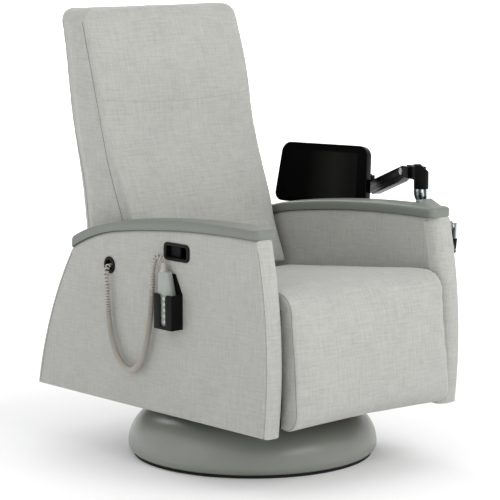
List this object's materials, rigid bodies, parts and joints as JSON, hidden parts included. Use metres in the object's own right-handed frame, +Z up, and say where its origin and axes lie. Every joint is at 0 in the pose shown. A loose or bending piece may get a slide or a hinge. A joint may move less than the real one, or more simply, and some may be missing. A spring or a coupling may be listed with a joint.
{
  "type": "patient treatment recliner",
  "caption": "Upholstered power recliner on a round swivel base, with moulded arm caps, a corded handset in a side pocket and a small monitor on a jointed arm.",
  "frame": {"origin": "on the floor at the swivel axis, the middle of the base's flat underside", "axes": "+Z up along the swivel axis, the chair faces -Y, the sitter's right arm (with the handset) is at -X"},
  "size_m": [0.9059, 0.979, 1.172],
  "materials": {
    "upholstery": "light warm-grey cross-weave, linen look",
    "cap_urethane": "satin grey-green moulded urethane",
    "base_paint": "satin grey-green paint",
    "dark_steel": "black powder coat",
    "bright_steel": "zinc plated",
    "chrome": "polished",
    "rubber": "matt",
    "black_plastic": "fine moulded texture",
    "handset_plastic": "pale grey-green, smooth",
    "button_rubber": "pale, matt",
    "cord_jacket": "beige-grey, satin",
    "arm_paint": "semi-gloss black",
    "bracket_paint": "satin grey",
    "monitor_shell": "gloss black",
    "monitor_panel": "dark glossy screen",
    "plywood": "bare plywood"
  },
  "bodies": {
    "base": {"floor_plate": "dark_steel", "glide_ring": "rubber", "base_dome": "base_paint", "pedestal": "dark_steel", "pedestal_bolts": "bright_steel", "lower_race": "bright_steel", "bearing_balls": "bright_steel"},
    "chair": {"upper_race": "bright_steel", "swivel_hub": "dark_steel", "swivel_plate": "dark_steel", "seat_frame": "dark_steel", "hinge_plates": "dark_steel", "side_panel_right": "upholstery", "side_panel_left": "upholstery", "arm_cap_right": "cap_urethane", "arm_cap_left": "cap_urethane", "cap_bolts": "bright_steel", "seat_deck": "plywood", "seat_cushion": "upholstery", "knee_roll": "upholstery", "knee_pins": "bright_steel", "recline_pins": "bright_steel", "legrest_motor": "black_plastic", "recline_motor": "black_plastic", "control_box": "black_plastic", "rear_apron": "upholstery", "cord_grommet": "rubber", "cord_gland": "rubber", "handset_cord": "cord_jacket", "handset_pocket": "black_plastic", "pocket_screws": "bright_steel", "release_housing": "black_plastic", "monitor_bracket": "bracket_paint", "bracket_screws": "bright_steel", "post_socket": "chrome"},
    "back": {"back_frame": "dark_steel", "back_shell": "upholstery", "back_pad": "upholstery"},
    "legrest": {"legrest_frame": "dark_steel", "legrest_pad": "upholstery"},
    "legrest_rod": {"legrest_rod": "bright_steel"},
    "recline_rod": {"recline_rod": "bright_steel"},
    "handset": {"handset": "handset_plastic", "handset_neck": "cord_jacket"},
    "release_paddle": {"release_paddle": "black_plastic"},
    "clamp_lever": {"clamp_lever": "chrome"},
    "arm_fork": {"arm_fork": "arm_paint", "lift_pin": "bright_steel"},
    "arm_beam": {"arm_beam": "arm_paint"},
    "level_block": {"level_block": "arm_paint"},
    "head_link": {"head_link": "arm_paint"},
    "monitor": {"tilt_knuckle": "arm_paint", "monitor_case": "monitor_shell", "monitor_glass": "monitor_panel"},
    "button_1": {"button_1": "button_rubber"},
    "button_2": {"button_2": "button_rubber"},
    "button_3": {"button_3": "button_rubber"},
    "button_4": {"button_4": "button_rubber"},
    "button_5": {"button_5": "button_rubber"}
  },
  "joints": [
    {"name": "chair_swivel", "type": "hinge", "parent": "base", "child": "chair", "pos_m": [0, 0, 0.1], "axis": [0, 0, 1], "continuous": true},
    {"name": "recline", "type": "hinge", "parent": "chair", "child": "back", "pos_m": [0, 0.25, 0.405], "axis": [-1, 0, 0], "range_deg": [0, 50]},
    {"name": "legrest_lift", "type": "hinge", "parent": "chair", "child": "legrest", "pos_m": [0, -0.393, 0.456], "axis": [-1, 0, 0], "range_deg": [0, 80], "deforming": ["knee_roll"]},
    {"name": "recline_drive", "type": "slide", "parent": "chair", "child": "recline_rod", "axis": [0, 1, 0], "range_m": [0, 0.11]},
    {"name": "legrest_drive", "type": "slide", "parent": "chair", "child": "legrest_rod", "axis": [0, -1, 0], "range_m": [0, 0.06]},
    {"name": "handset_lift", "type": "slide", "parent": "chair", "child": "handset", "axis": [0, 0.0436, 0.999], "range_m": [0, 0.1], "deforming": ["handset_cord"]},
    {"name": "release_pull", "type": "hinge", "parent": "chair", "child": "release_paddle", "pos_m": [-0.328, -0.062, 0.582], "axis": [0, 0, -1], "range_deg": [0, 18], "stiffness_Nm_per_rad": 0.3},
    {"name": "clamp_turn", "type": "hinge", "parent": "chair", "child": "clamp_lever", "pos_m": [0.36, -0.373, 0.613], "axis": [1, 0, 0], "range_deg": [-80, 0]},
    {"name": "arm_swivel", "type": "hinge", "parent": "chair", "child": "arm_fork", "pos_m": [0.39, -0.243, 0.7], "axis": [0, 0, -1], "range_deg": [0, 240]},
    {"name": "arm_lift", "type": "hinge", "parent": "arm_fork", "child": "arm_beam", "pos_m": [0.42046, -0.16365, 0.737], "axis": [0.9336, -0.3584, 0], "range_deg": [0, 45]},
    {"name": "arm_level", "type": "hinge", "parent": "arm_beam", "child": "level_block", "pos_m": [0.51196, 0.07473, 0.65894], "axis": [0.9336, -0.3584, 0], "range_deg": [-46, 1]},
    {"name": "head_swivel", "type": "hinge", "parent": "level_block", "child": "head_link", "pos_m": [0.51196, 0.07473, 0.68494], "axis": [0, 0, -1], "range_deg": [0, 90]},
    {"name": "monitor_tilt", "type": "hinge", "parent": "head_link", "child": "monitor", "pos_m": [0.47746, 0.18757, 0.68744], "axis": [-0.2924, 0.9563, 0], "range_deg": [-12, 0]},
    {"name": "button_1_press", "type": "slide", "parent": "handset", "child": "button_1", "axis": [1, 0, 0], "range_m": [0, 0.0015], "stiffness_N_per_m": 300},
    {"name": "button_2_press", "type": "slide", "parent": "handset", "child": "button_2", "axis": [1, 0, 0], "range_m": [0, 0.0015], "stiffness_N_per_m": 300},
    {"name": "button_3_press", "type": "slide", "parent": "handset", "child": "button_3", "axis": [1, 0, 0], "range_m": [0, 0.0015], "stiffness_N_per_m": 300},
    {"name": "button_4_press", "type": "slide", "parent": "handset", "child": "button_4", "axis": [1, 0, 0], "range_m": [0, 0.0015], "stiffness_N_per_m": 300},
    {"name": "button_5_press", "type": "slide", "parent": "handset", "child": "button_5", "axis": [1, 0, 0], "range_m": [0, 0.0015], "stiffness_N_per_m": 300}
  ],
  "couplings": [
    {"joint": "recline_drive", "follows": "recline", "m_per_rad": 0.115},
    {"joint": "legrest_drive", "follows": "legrest_lift", "m_per_rad": 0.04},
    {"joint": "arm_level", "follows": "arm_lift", "ratio": -1}
  ]
}
